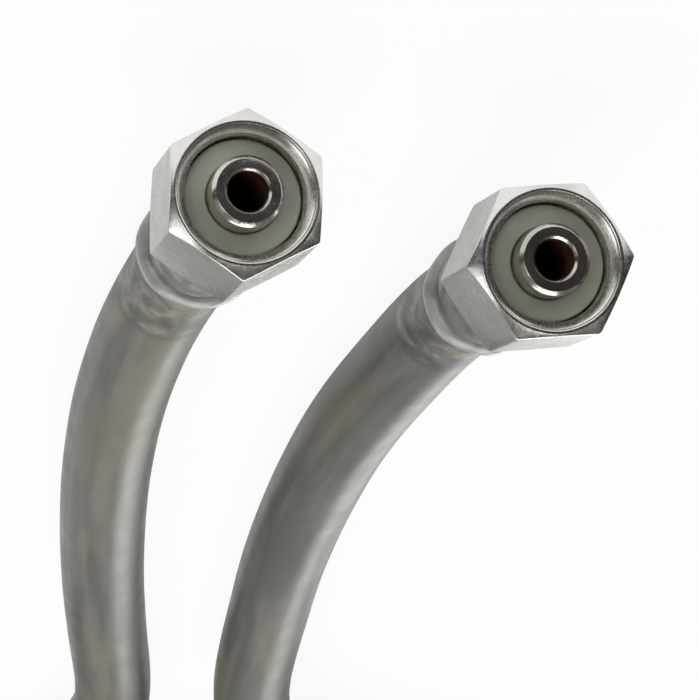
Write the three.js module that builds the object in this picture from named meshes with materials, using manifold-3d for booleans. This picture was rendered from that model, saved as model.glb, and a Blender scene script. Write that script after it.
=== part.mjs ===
// Ice maker supply line: a reinforced vinyl hose with a swivel compression nut at each end.
// Millimetres, +Z up. The line lies flat, with its spare length in a tied coil behind the two ends.
// Sizes and places here are from the surface that it lies on, and the last lines move the origin
// to the middle of the two end fittings.
import * as THREE from 'three';
import { mergeVertices } from 'three/addons/utils/BufferGeometryUtils.js';
import Module from 'manifold-3d';

const wasm = await Module();
wasm.setup();

// Clearances
const SEAT_GAP = 0.3; // between pieces that bear on each other
const RUN_GAP = 0.35; // between the swivel nut and what it turns on

// Swivel nut, half-inch hexagon with a 7/16-24 thread
const NUT_FLATS = 12.7;
const NUT_LENGTH = 9.3;
const NUT_RIM_R = 6.2; // where the end chamfer meets the end face
const NUT_CHAMFER_DEG = 28;
const NUT_MOUTH_R = 5.78; // countersink at the mouth
const NUT_BORE_R = 5.1; // crests of the thread
const NUT_MOUTH_DEPTH = 0.75;
const NUT_BACK_WALL = 2.2;

// Stem: nose, flange that holds the nut, neck and barbed tail
const STEM_NOSE_R = 2.95;
const STEM_NOSE_OUT = 0.6; // how far the nose stands out of the nut
const STEM_NOSE_CHAMFER = 0.35;
const STEM_BORE_R = 1.71;
const STEM_BORE_CHAMFER = 0.22;
const STEM_FLANGE_GAP = 0.4; // round the flange, to the crests of the nut's thread
const STEM_FLANGE_THICK = 1.5;
const STEM_NECK_R = 3.35;
const STEM_TAIL_ROOT_R = 2.1;
const BARB_R = 2.5;
const BARB_COUNT = 4;
const BARB_PITCH = 1.9;

// Seal: flat washer on the nose, in front of the flange
const SEAL_DEPTH = 1.8; // front face behind the mouth of the nut
const SEAL_EDGE_CHAMFER = 0.3;
const SEAL_RIM_GAP = 0.15; // round the washer, to the crests of the nut's thread
const SEAL_BORE_GAP = 0.15;

// Crimped end of the hose
const LINER_WALL = 0.5;
const BRAID_WALL = 0.3;
const FERRULE_LIP = 1.0; // turned-in front lip, seated on the neck
const FERRULE_WALL = 0.55;
const FERRULE_LENGTH = 9.6;
const FERRULE_JAWS = 8; // flats that the crimping jaws leave
const CRIMP_DEPTH = 0.22;
const CRIMP_LENGTH = 4.4;
const BEAD_R = 5.2; // rolled end of the vinyl jacket
const BEAD_LENGTH = 2.3;
const BEAD_BORE_R = 3.0;

// Hose
const HOSE_D = 9.2;
const HOSE_SIDES = 12;

// Coil of spare hose, two turns wide and two high, on its ties
const COIL_MID_R = 48.5;
const COIL_WIDE = 2;
const COIL_HIGH = 2;
const TURN_R = 44; // the bend by which each strand meets the coil
const TURN_Y = 121; // where those bends start
const B_DROP = 62; // length over which strand B comes down off the coil

// Cable ties
const TIE_THICK = 1.0;
const TIE_WIDTH = 3.6;
const TIE_HEAD = [4.2, 5.4, 5.2]; // through the coil, along it, up
const TIE_TAIL = 7;
const TIE_ANGLES = [90, 210, 330];

// Where each end lies: the centre of the nut's mouth, where its axis points, in degrees from -Y
// and up from the floor, and how far the nut is turned about that axis from a corner at the top
const END_A = { mouth: [11.1, -12.7, 11.7], turn: 14.5, rise: 14.5, spin: 2.6 };
const END_B = { mouth: [-14.05, -7.3, 15.1], turn: 14.5, rise: 18.5, spin: -19.6 };

// Strands from the fittings to the coil, along the middle of the hose
const RUN_A = [
  [19.6, 18.6, 4.75], [22.5, 28.7, 4.6], [25.4, 42.0, 4.6], [27.6, 56.4, 4.6], [29.2, 71.5, 4.6],
  [30.4, 88.0, 4.6], [31.1, 105.0, 4.6],
];
const RUN_B = [
  [-6.2, 22.0, 5.7], [-2.6, 33.0, 4.6], [2.2, 46.5, 4.6], [6.0, 61.5, 4.6], [9.2, 78.0, 4.6],
  [11.7, 95.4, 4.6],
];
const STRAIGHT = 1.5; // the hose leaves its bead straight for this far
const STRAND_A_X = 31.6; // the strands where their bends start
const STRAND_B_X = 14.7;

// Facets
const ROUND = 48;
const SMALL_ROUND = 36;
const RUN_STEP = 2 * HOSE_D; // along the hose

const COLOURS = {
  nut: [0xb9b4aa, 0.32, 1.0],
  seal: [0xbcc2ae, 0.55, 0.0],
  stem: [0xa7a29b, 0.25, 1.0],
  ferrule: [0xb4b6b4, 0.38, 1.0],
  liner: [0xe4e1d6, 0.5, 0.0],
  braid: [0xd8d8d4, 0.8, 0.0],
  jacket: [0xb2b3ad, 0.38, 0.0],
  bead: [0xc4c8c3, 0.35, 0.0],
  tie: [0xe9e9e2, 0.45, 0.0],
};

function material(kind) {
  const [color, roughness, metalness] = COLOURS[kind];
  return new THREE.MeshStandardMaterial({ color, roughness, metalness });
}

function named(name, geometry, kind) {
  const mesh = new THREE.Mesh(geometry, material(kind));
  mesh.name = name;
  return mesh;
}

// Geometry as a solid that can be cut and joined
function solid(geometry) {
  const bare = geometry.clone();
  bare.deleteAttribute('normal');
  bare.deleteAttribute('uv');
  const merged = mergeVertices(bare, 1e-5);
  return new wasm.Manifold(new wasm.Mesh({
    numProp: 3,
    vertProperties: new Float32Array(merged.attributes.position.array),
    triVerts: new Uint32Array(merged.index.array),
  }));
}

function geometryOf(body) {
  const mesh = body.getMesh();
  const geometry = new THREE.BufferGeometry();
  geometry.setAttribute('position', new THREE.BufferAttribute(mesh.vertProperties, 3));
  geometry.setIndex(new THREE.BufferAttribute(mesh.triVerts, 1));
  geometry.computeVertexNormals();
  return geometry;
}

// A ring turned about the fitting's axis. Each profile point is [radius, depth behind the mouth].
function turned(profile, segments = ROUND) {
  const points = profile.map(([r, depth]) => new THREE.Vector2(r, -depth));
  points.push(points[0].clone());
  const area = points.slice(1).reduce((sum, p, i) => sum + points[i].x * p.y - p.x * points[i].y, 0);
  if (area < 0) points.reverse();
  const geometry = new THREE.LatheGeometry(points, segments);
  geometry.rotateX(Math.PI / 2);
  return geometry;
}

// Depths behind the nut's mouth, worked out from front to back
const backWallAt = NUT_LENGTH - NUT_BACK_WALL;
const flangeBackAt = backWallAt - RUN_GAP;
const flangeAt = flangeBackAt - STEM_FLANGE_THICK;
const sealBackAt = flangeAt - SEAT_GAP;
const ferruleAt = NUT_LENGTH + RUN_GAP;
const neckEndAt = ferruleAt + FERRULE_LIP;
const ferruleEndAt = ferruleAt + FERRULE_LENGTH;
const linerAt = neckEndAt + SEAT_GAP;
const tailEndAt = ferruleEndAt - SEAT_GAP;
const beadAt = ferruleEndAt + SEAT_GAP;
const beadEndAt = beadAt + BEAD_LENGTH;
const hoseAt = beadEndAt + SEAT_GAP;

// Radii of what turns inside the nut
const flangeR = NUT_BORE_R - STEM_FLANGE_GAP;
const sealR = NUT_BORE_R - SEAL_RIM_GAP;

// Radii of the layers in the crimp, worked out from the inside
const linerR = BARB_R + SEAT_GAP;
const braidR = linerR + LINER_WALL + SEAT_GAP;
const ferruleBoreR = braidR + BRAID_WALL + SEAT_GAP;
const ferruleR = ferruleBoreR + FERRULE_WALL;

function nutGeometry() {
  const cornerR = NUT_FLATS / Math.sqrt(3);
  const hexagon = new THREE.CylinderGeometry(cornerR, cornerR, NUT_LENGTH, 6);
  hexagon.rotateX(Math.PI / 2);
  hexagon.translate(0, 0, -NUT_LENGTH / 2);
  const chamfer = (cornerR + 0.2 - NUT_RIM_R) * Math.tan(THREE.MathUtils.degToRad(NUT_CHAMFER_DEG));
  const blank = turned([
    [0, 0], [NUT_RIM_R, 0], [cornerR + 0.2, chamfer], [cornerR + 0.2, NUT_LENGTH - chamfer],
    [NUT_RIM_R, NUT_LENGTH], [0, NUT_LENGTH],
  ]);
  const bore = turned([
    [0, -1], [NUT_MOUTH_R, -1], [NUT_MOUTH_R, 0], [NUT_BORE_R, NUT_MOUTH_DEPTH],
    [NUT_BORE_R, backWallAt], [STEM_NECK_R + RUN_GAP, backWallAt],
    [STEM_NECK_R + RUN_GAP, NUT_LENGTH + 1], [0, NUT_LENGTH + 1],
  ]);
  return geometryOf(solid(hexagon).intersect(solid(blank)).subtract(solid(bore)));
}

function sealGeometry() {
  const boreR = STEM_NOSE_R + SEAL_BORE_GAP;
  return turned([
    [boreR, SEAL_DEPTH], [sealR - SEAL_EDGE_CHAMFER, SEAL_DEPTH],
    [sealR, SEAL_DEPTH + SEAL_EDGE_CHAMFER], [sealR, sealBackAt], [boreR, sealBackAt],
  ]);
}

// The tail's barbs rise towards the fitting and fall steeply, so that the hose can't slip off
function barbs() {
  const points = [];
  for (let i = BARB_COUNT - 1; i >= 0; i -= 1) {
    const end = tailEndAt - i * BARB_PITCH;
    points.push([BARB_R, end - BARB_PITCH], [STEM_TAIL_ROOT_R, end]);
  }
  return points;
}

function stemGeometry() {
  const front = -STEM_NOSE_OUT;
  return turned([
    [STEM_BORE_R + STEM_BORE_CHAMFER, front], [STEM_NOSE_R - STEM_NOSE_CHAMFER, front],
    [STEM_NOSE_R, front + STEM_NOSE_CHAMFER], [STEM_NOSE_R, flangeAt],
    [flangeR, flangeAt], [flangeR, flangeBackAt], [STEM_NECK_R, flangeBackAt],
    [STEM_NECK_R, ferruleAt - SEAT_GAP], [STEM_TAIL_ROOT_R, ferruleAt - SEAT_GAP],
    [STEM_TAIL_ROOT_R, tailEndAt - BARB_COUNT * BARB_PITCH], ...barbs(),
    [STEM_BORE_R, tailEndAt], [STEM_BORE_R, front + STEM_BORE_CHAMFER],
  ], SMALL_ROUND);
}

function sleeveGeometry(innerR, wall) {
  const outerR = innerR + wall;
  const profile = [[innerR, linerAt], [outerR, linerAt], [outerR, tailEndAt], [innerR, tailEndAt]];
  return turned(profile, SMALL_ROUND);
}

// A drawn cup over the end of the hose, squeezed by jaws in the middle of its length
function ferruleGeometry() {
  const lipR = STEM_TAIL_ROOT_R + SEAT_GAP;
  const round = 0.5;
  const cup = turned([
    [lipR, ferruleAt], [ferruleR - round, ferruleAt], [ferruleR, ferruleAt + round],
    [ferruleR, ferruleEndAt - round], [ferruleR - round / 2, ferruleEndAt],
    [ferruleBoreR, ferruleEndAt], [ferruleBoreR, neckEndAt], [lipR, neckEndAt],
  ]);
  const middle = (ferruleAt + ferruleEndAt) / 2;
  const outside = turned([
    [ferruleR - CRIMP_DEPTH, middle - CRIMP_LENGTH / 2], [ferruleR + 1, middle - CRIMP_LENGTH / 2 - 0.5],
    [ferruleR + 1, middle + CRIMP_LENGTH / 2 + 0.5], [ferruleR - CRIMP_DEPTH, middle + CRIMP_LENGTH / 2],
  ]);
  const flatsR = (ferruleR - CRIMP_DEPTH) / Math.cos(Math.PI / FERRULE_JAWS);
  const jaws = new THREE.CylinderGeometry(flatsR, flatsR, NUT_LENGTH * 3, FERRULE_JAWS);
  jaws.rotateX(Math.PI / 2);
  jaws.translate(0, 0, -middle);
  return geometryOf(solid(cup).subtract(solid(outside).subtract(solid(jaws))));
}

// The jacket's rolled end, a soft ring against the ferrule
function beadGeometry() {
  const half = BEAD_LENGTH / 2;
  const profile = [[BEAD_BORE_R, beadAt]];
  for (let i = 0; i <= 6; i += 1) {
    const a = -Math.PI / 2 + (i / 6) * Math.PI;
    profile.push([BEAD_R - half + half * Math.cos(a), beadAt + half + half * Math.sin(a)]);
  }
  profile.push([BEAD_BORE_R, beadEndAt]);
  return turned(profile);
}

function fitting(letter, end) {
  const group = new THREE.Group();
  const nut = named(`nut_${letter}`, nutGeometry(), 'nut');
  nut.rotation.z = THREE.MathUtils.degToRad(end.spin);
  group.add(nut);
  group.add(named(`seal_${letter}`, sealGeometry(), 'seal'));
  group.add(named(`stem_${letter}`, stemGeometry(), 'stem'));
  group.add(named(`liner_end_${letter}`, sleeveGeometry(linerR, LINER_WALL), 'liner'));
  group.add(named(`braid_end_${letter}`, sleeveGeometry(braidR, BRAID_WALL), 'braid'));
  group.add(named(`ferrule_${letter}`, ferruleGeometry(), 'ferrule'));
  group.add(named(`jacket_bead_${letter}`, beadGeometry(), 'bead'));
  const out = outward(end);
  const across = new THREE.Vector3(0, 0, 1).cross(out).normalize();
  const over = out.clone().cross(across);
  group.position.set(...end.mouth);
  group.quaternion.setFromRotationMatrix(new THREE.Matrix4().makeBasis(across, over, out));
  return group;
}

// The way out of a fitting's mouth
function outward(end) {
  const turn = THREE.MathUtils.degToRad(end.turn);
  const rise = THREE.MathUtils.degToRad(end.rise);
  return new THREE.Vector3(
    -Math.sin(turn) * Math.cos(rise), -Math.cos(turn) * Math.cos(rise), Math.sin(rise),
  );
}

function behind(end, depth) {
  return new THREE.Vector3(...end.mouth).addScaledVector(outward(end), -depth);
}

// The coil lies on its ties
const coilLow = TIE_THICK + SEAT_GAP;
const coilOuterR = COIL_MID_R + (COIL_WIDE * HOSE_D) / 2;
const coilInnerR = COIL_MID_R - (COIL_WIDE * HOSE_D) / 2;
const coilHigh = coilLow + COIL_HIGH * HOSE_D;
const outerTurnR = coilOuterR - HOSE_D / 2;

// Both strands meet the outer turn with the same bend, so the coil is centred between them
const coilX = (STRAND_A_X + STRAND_B_X) / 2;
const reach = outerTurnR + TURN_R;
const meetAngle = Math.acos((STRAND_A_X - STRAND_B_X + 2 * TURN_R) / (2 * reach));
const coilY = TURN_Y + reach * Math.sin(meetAngle);

function smooth(x) {
  const t = Math.min(Math.max(x, 0), 1);
  return t * t * (3 - 2 * t);
}

// How high a strand's middle is at a distance before it meets the coil
function heightA(left) {
  return HOSE_D / 2 + coilLow * smooth(1 - left / (TURN_R * meetAngle));
}

function heightB(left) {
  return HOSE_D / 2 + (coilLow + (COIL_HIGH - 1) * HOSE_D) * smooth(1 - left / B_DROP);
}

// One strand: out of the fitting, along the floor and round its bend until its side meets the coil
function strandGeometry(end, points, strandX, side, height) {
  const path = [behind(end, hoseAt), behind(end, hoseAt + STRAIGHT)];
  path.push(...points.map((p) => new THREE.Vector3(...p)));
  const nearSideR = TURN_R + HOSE_D / 2;
  const clearR = coilOuterR + SEAT_GAP;
  const share = (reach ** 2 + nearSideR ** 2 - clearR ** 2) / (2 * reach * nearSideR);
  const lastAngle = meetAngle - Math.acos(share);
  const stops = 4;
  for (let i = 0; i <= stops; i += 1) {
    const a = (i / stops) * lastAngle;
    const x = strandX + side * TURN_R * (1 - Math.cos(a));
    path.push(new THREE.Vector3(x, TURN_Y + TURN_R * Math.sin(a), height(TURN_R * (meetAngle - a))));
  }
  const curve = new THREE.CatmullRomCurve3(path, false, 'centripetal');
  const steps = Math.round(curve.getLength() / RUN_STEP);
  return new THREE.ExtrudeGeometry(hoseSection(), { extrudePath: curve, steps, bevelEnabled: false });
}

function hoseSection() {
  const section = new THREE.Shape();
  for (let i = 0; i < HOSE_SIDES; i += 1) {
    const a = ((i + 0.5) / HOSE_SIDES) * 2 * Math.PI;
    const [x, y] = [Math.cos(a) * (HOSE_D / 2), Math.sin(a) * (HOSE_D / 2)];
    if (i === 0) section.moveTo(x, y);
    else section.lineTo(x, y);
  }
  section.closePath();
  return section;
}

// The outer shape of the coiled turns
function coilGeometry() {
  const round = HOSE_D / 2;
  const profile = [];
  const corners = [
    [coilOuterR - round, coilLow + round, -90], [coilOuterR - round, coilHigh - round, 0],
    [coilInnerR + round, coilHigh - round, 90], [coilInnerR + round, coilLow + round, 180],
  ];
  for (const [r, z, start] of corners) {
    for (let i = 0; i <= 3; i += 1) {
      const a = THREE.MathUtils.degToRad(start + i * 30);
      profile.push(new THREE.Vector2(r + round * Math.cos(a), z + round * Math.sin(a)));
    }
  }
  profile.push(profile[0].clone());
  const ring = new THREE.LatheGeometry(profile, 64);
  ring.rotateX(Math.PI / 2);
  return ring;
}

// The outline of a band that is a wall's thickness out from the coil's section
function bandOutline(out) {
  const round = HOSE_D / 2 + out;
  const [left, right] = [coilInnerR - out, coilOuterR + out];
  const [low, high] = [coilLow - out, coilHigh + out];
  const shape = new THREE.Shape();
  shape.moveTo(left + round, low);
  shape.lineTo(right - round, low);
  shape.absarc(right - round, low + round, round, -Math.PI / 2, 0, false);
  shape.absarc(right - round, high - round, round, 0, Math.PI / 2, false);
  shape.absarc(left + round, high - round, round, Math.PI / 2, Math.PI, false);
  shape.absarc(left + round, low + round, round, Math.PI, 1.5 * Math.PI, false);
  return shape;
}

// A cable tie: a band round the turns, with its head and cut tail inside the coil
function tieGeometry() {
  const ring = bandOutline(SEAT_GAP + TIE_THICK);
  ring.holes.push(bandOutline(SEAT_GAP));
  const band = new THREE.ExtrudeGeometry(ring, { depth: TIE_WIDTH, bevelEnabled: false, curveSegments: 5 });
  band.translate(0, 0, -TIE_WIDTH / 2);
  band.rotateX(Math.PI / 2);
  const [deep, along, tall] = TIE_HEAD;
  const headX = coilInnerR - SEAT_GAP - deep / 2;
  const middle = (coilLow + coilHigh) / 2;
  const head = new THREE.BoxGeometry(deep, along, tall);
  head.translate(headX, 0, middle);
  const tail = new THREE.BoxGeometry(TIE_TAIL, TIE_WIDTH - 0.6, TIE_THICK);
  tail.translate(headX - deep / 2 - TIE_TAIL / 2 + 0.5, 0, middle + tall / 4);
  return geometryOf(solid(band).add(solid(head)).add(solid(tail)));
}

function coil() {
  const group = new THREE.Group();
  group.add(named('hose_coil', coilGeometry(), 'jacket'));
  TIE_ANGLES.forEach((angle, i) => {
    const tie = named(`tie_${i + 1}`, tieGeometry(), 'tie');
    tie.rotation.z = THREE.MathUtils.degToRad(angle);
    group.add(tie);
  });
  group.position.set(coilX, coilY, 0);
  return group;
}

const ends = new THREE.Group();
ends.add(fitting('a', END_A));
ends.add(fitting('b', END_B));

const line = new THREE.Group();
line.add(ends);
line.add(named('hose_run_a', strandGeometry(END_A, RUN_A, STRAND_A_X, 1, heightA), 'jacket'));
line.add(named('hose_run_b', strandGeometry(END_B, RUN_B, STRAND_B_X, -1, heightB), 'jacket'));
line.add(coil());
line.position.copy(new THREE.Box3().setFromObject(ends, true).getCenter(new THREE.Vector3()).negate());

export default line;
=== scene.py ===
# Ice maker supply line: a reinforced vinyl hose with a swivel compression nut at each end.
# Sizes are in millimetres, and places are in millimetres over the floor that the line lies on.
# Meshes, lamps and cards are in metres in the row frame.
from math import acos, atan2, cos, degrees, pi, radians, sin, sqrt, tan

import bmesh
import bpy
from mathutils import Matrix, Vector


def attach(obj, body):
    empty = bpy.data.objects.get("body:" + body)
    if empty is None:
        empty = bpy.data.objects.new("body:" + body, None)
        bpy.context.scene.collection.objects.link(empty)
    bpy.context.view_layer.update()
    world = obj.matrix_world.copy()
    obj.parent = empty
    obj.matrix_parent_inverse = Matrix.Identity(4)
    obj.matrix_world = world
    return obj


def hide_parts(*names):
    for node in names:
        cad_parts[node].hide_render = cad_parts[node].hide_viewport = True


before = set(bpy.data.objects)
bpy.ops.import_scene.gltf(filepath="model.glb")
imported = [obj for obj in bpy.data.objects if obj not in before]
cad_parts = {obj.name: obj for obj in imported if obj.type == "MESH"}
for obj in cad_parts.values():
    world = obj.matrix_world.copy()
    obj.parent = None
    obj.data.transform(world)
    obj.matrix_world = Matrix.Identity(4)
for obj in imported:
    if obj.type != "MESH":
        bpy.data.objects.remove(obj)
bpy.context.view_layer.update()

bl_info = {
    "name": "Ice Maker Supply Line",
    "version": (1, 0, 0),
    "blender": (4, 5, 0),
    "location": "3D View > Sidebar > Supply Line",
    "description": "Builds a vinyl water line with a swivel nut at each end",
    "category": "Object",
}

MM = 0.001

# The row frame's origin, in millimetres over the floor
ORIGIN = Vector((0.0789, -0.2041, 11.4711))
LINE_BODY = "line"

# Where each end lies: the centre of the nut's mouth, its axis and the nut's spin, in degrees
ENDS = {
    "a": {"mouth": (11.1, -12.7, 11.7), "turn": 14.5, "rise": 14.5, "spin": 2.6},
    "b": {"mouth": (-14.05, -7.3, 15.1), "turn": 14.5, "rise": 18.5, "spin": -19.6},
}

# Strands from the fittings to the coil, along the middle of the hose
RUN_A = [
    (19.6, 18.6, 4.75), (22.5, 28.7, 4.6), (25.4, 42.0, 4.6), (27.6, 56.4, 4.6),
    (29.2, 71.5, 4.6), (30.4, 88.0, 4.6), (31.1, 105.0, 4.6),
]
RUN_B = [
    (-6.2, 22.0, 5.7), (-2.6, 33.0, 4.6), (2.2, 46.5, 4.6), (6.0, 61.5, 4.6),
    (9.2, 78.0, 4.6), (11.7, 95.4, 4.6),
]
STRAIGHT = 1.5
STRAND_A_X = 31.6
STRAND_B_X = 14.7
TURN_R = 44.0
TURN_Y = 121.0
B_DROP = 62.0

# The hose and its coil, two turns wide and two high. The angles are in degrees.
HOSE_D = 9.2
HOSE_R = HOSE_D / 2
COIL_MID_R = 48.5
COIL_WIDE = 2
COIL_HIGH = 2
COIL_STOPS = 24
SEAT_GAP = 0.3
SHIFT_ANGLE = 90.0
CLIMB_ANGLE = 110.0
BULGE_ANGLE = 230.0
BULGE = 6.2

# Cable ties: the strap, its head inside the coil, and the tail that stands out of the head
TIE_ANGLES = (90, 210, 330)
TIE_THICK = 1.0
TIE_GAP = SEAT_GAP * 0.35
HEAD_DEEP = 3.6
HEAD_ALONG = 5.4
HEAD_TALL = 5.2
HEAD_LAP = 0.7
TAIL_OUT = 5.6
TAIL_LAP = 1.4
TAIL_INSET = 0.3
TAIL_LOW = 0.8
TAIL_HIGH = 1.8
TEETH_FROM_TIP = 0.6
TEETH_SHORTER = 1.0
TEETH_NARROWER = 1.4
TIE_BEVEL = 0.25
TIE_SHARP_ANGLE = 40

# Depths behind the nut's mouth and radii, as the solids have them
NUT_LENGTH = 9.3
RUN_GAP = 0.35
NUT_BACK_WALL = 2.2
SEAL_AT = 1.8
SEAL_R = 4.97
SEAL_HOLE_R = 3.07
FLANGE_THICK = 1.5
FLANGE_R = 4.7
NOSE_OUT = 0.6
NOSE_R = 3.05
NECK_R = 3.35
BORE_R = 1.71
TAIL_ROOT_R = 2.1
BARB_PITCH = 1.9
BARBS = 4
FERRULE_LIP = 1.0
FERRULE_LENGTH = 9.6
BEAD_LENGTH = 2.3
BEAD_R = 5.55
BEAD_HOLE_R = 3.0
BARB_R = 2.5
LINER_WALL = 0.5
BRAID_WALL = 0.3
FERRULE_WALL = 0.55
BACK_WALL_AT = NUT_LENGTH - NUT_BACK_WALL
FLANGE_BACK_AT = BACK_WALL_AT - RUN_GAP
FLANGE_AT = FLANGE_BACK_AT - FLANGE_THICK
SEAL_BACK_AT = FLANGE_AT - SEAT_GAP
FERRULE_AT = NUT_LENGTH + RUN_GAP
NECK_END_AT = FERRULE_AT + FERRULE_LIP
FERRULE_END_AT = FERRULE_AT + FERRULE_LENGTH
TAIL_END_AT = FERRULE_END_AT - SEAT_GAP
BEAD_AT = FERRULE_END_AT + SEAT_GAP
BEAD_END_AT = BEAD_AT + BEAD_LENGTH
HOSE_AT = BEAD_END_AT + SEAT_GAP
FERRULE_BORE_R = BARB_R + LINER_WALL + BRAID_WALL + 3 * SEAT_GAP
FERRULE_R = FERRULE_BORE_R + FERRULE_WALL

# The nut's mouth and its thread, which is cut in a few steps a turn with flat crests and roots
MOUTH_DEPTH = 0.75
MOUTH_EDGE = 0.06
LIP_DEPTH = 0.22
LIP_SWEEP = 154
LIP_STEP = 22
NUT_EDGE = 0.12
CHAMFER_DROP = 0.13
THREAD_AT = 1.75
THREAD_LEAD = 0.1
THREAD_RUNOUT = 0.3
THREAD_STEPS = 8
THREAD_SLOPE = 1.6
THREAD_CREST = 0.3

# The crimp that the jaws press into the ferrule
JAWS = 8
JAW_LENGTH = 4.4
JAW_DEPTH = 0.22
JAW_FADE = 0.6
JAW_SKIN = 0.3
JAW_ROW = 0.4
FERRULE_EDGE = 0.5

# Fineness of the turned pieces
FILLET_STEPS = 4
TURNED_SIDES = 96
CRIMPED_SIDES = 128
SHARP_ANGLE = 32

# The photograph's camera, in degrees below level. It was held upside down, so the floor is at the
# top of the picture.
CAMERA_AT = (2.75, -231.3, 133.6)
CAMERA_DOWN = 26.2
LENS = 157.9
SENSOR = 36.0


def there(point):
    """A point over the floor, in millimetres, as a point in the row frame, in metres."""
    return (Vector(point) - ORIGIN) * MM


# Fittings' places

def outward(end):
    turn, rise = radians(end["turn"]), radians(end["rise"])
    return Vector((-sin(turn) * cos(rise), -cos(turn) * cos(rise), sin(rise)))


def end_matrix(end, spin=0.0):
    """The fitting's own millimetres, with +Z out of its mouth, in the row frame."""
    out = outward(end)
    across = Vector((0, 0, 1)).cross(out).normalized()
    over = out.cross(across)
    turned = Matrix((across, over, out)).transposed().to_4x4()
    place = Matrix.Translation(there(end["mouth"])) @ turned
    return place @ Matrix.Rotation(radians(spin), 4, "Z") @ Matrix.Scale(MM, 4)


def behind(end, depth):
    return Vector(end["mouth"]) - outward(end) * depth


# Mesh code

def fillet(corners):
    """A closed outline of (radius, depth, fillet) corners, as points with the corners rounded."""
    points = []
    count = len(corners)
    for i, (x, y, r) in enumerate(corners):
        here = Vector((x, y))
        if not r:
            points.append(here)
            continue
        back = Vector(corners[i - 1][:2]) - here
        ahead = Vector(corners[(i + 1) % count][:2]) - here
        half = back.angle(ahead) / 2
        reach = min(r / tan(half), 0.45 * back.length, 0.45 * ahead.length)
        start = here + back.normalized() * reach
        finish = here + ahead.normalized() * reach
        for k in range(FILLET_STEPS + 1):
            t = k / FILLET_STEPS
            points.append(start * (1 - t) ** 2 + here * 2 * t * (1 - t) + finish * t ** 2)
    return points


def ring_mesh(name, rings, matrix, finishes, slots=None):
    """A closed skin over rings of (x, y, z) points, each ring a closed loop of the same count."""
    count, size = len(rings), len(rings[0])
    verts = [matrix @ Vector(p) for ring in rings for p in ring]
    faces, coords, marks = [], [], []
    around = 0.0
    steps = [0.0]
    for i in range(count):
        around += (Vector(rings[i][0]) - Vector(rings[(i + 1) % count][0])).length
        steps.append(around)
    for i in range(count):
        j = (i + 1) % count
        along = 0.0
        for k in range(size):
            m = (k + 1) % size
            faces.append((i * size + k, i * size + m, j * size + m, j * size + k))
            step = (Vector(rings[i][k]) - Vector(rings[i][m])).length
            coords += [(steps[i], along), (steps[i], along + step)]
            coords += [(steps[i + 1], along + step), (steps[i + 1], along)]
            along += step
            marks.append(slots[k] if slots else 0)
    piece = skin(name, verts, faces, coords, marks)
    for finish in finishes:
        piece.data.materials.append(finish)
    return piece


def skin(name, verts, faces, coords, marks=None):
    """A smooth mesh object with one UV map, in millimetres along the surface."""
    mesh = bpy.data.meshes.new(name)
    mesh.from_pydata(verts, [], faces)
    layer = mesh.uv_layers.new(name="surface")
    for i, uv in enumerate(coords):
        layer.data[i].uv = uv
    if marks:
        mesh.polygons.foreach_set("material_index", marks)
    if signed_volume(mesh) < 0:
        mesh.flip_normals()
    mesh.shade_smooth()
    mesh.set_sharp_from_angle(angle=radians(SHARP_ANGLE))
    mesh.update()
    return add_object(name, mesh)


def signed_volume(mesh):
    total = 0.0
    for face in mesh.polygons:
        a, *rest = (mesh.vertices[i].co for i in face.vertices)
        for b, c in zip(rest, rest[1:]):
            total += a.dot(b.cross(c))
    return total


def add_object(name, data):
    thing = bpy.data.objects.new(name, data)
    bpy.context.scene.collection.objects.link(thing)
    return thing


def turned_rings(corners, sides, wobble=None):
    """Rings of a profile of (radius, depth, fillet) corners turned about the fitting's axis."""
    outline = fillet(corners)
    rings = []
    for i in range(sides):
        a = 2 * pi * i / sides
        ring = []
        for r, depth in outline:
            r += wobble(a, r, depth) if wobble else 0.0
            ring.append((r * cos(a), r * sin(a), -depth))
        rings.append(ring)
    return rings


# Materials

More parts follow.
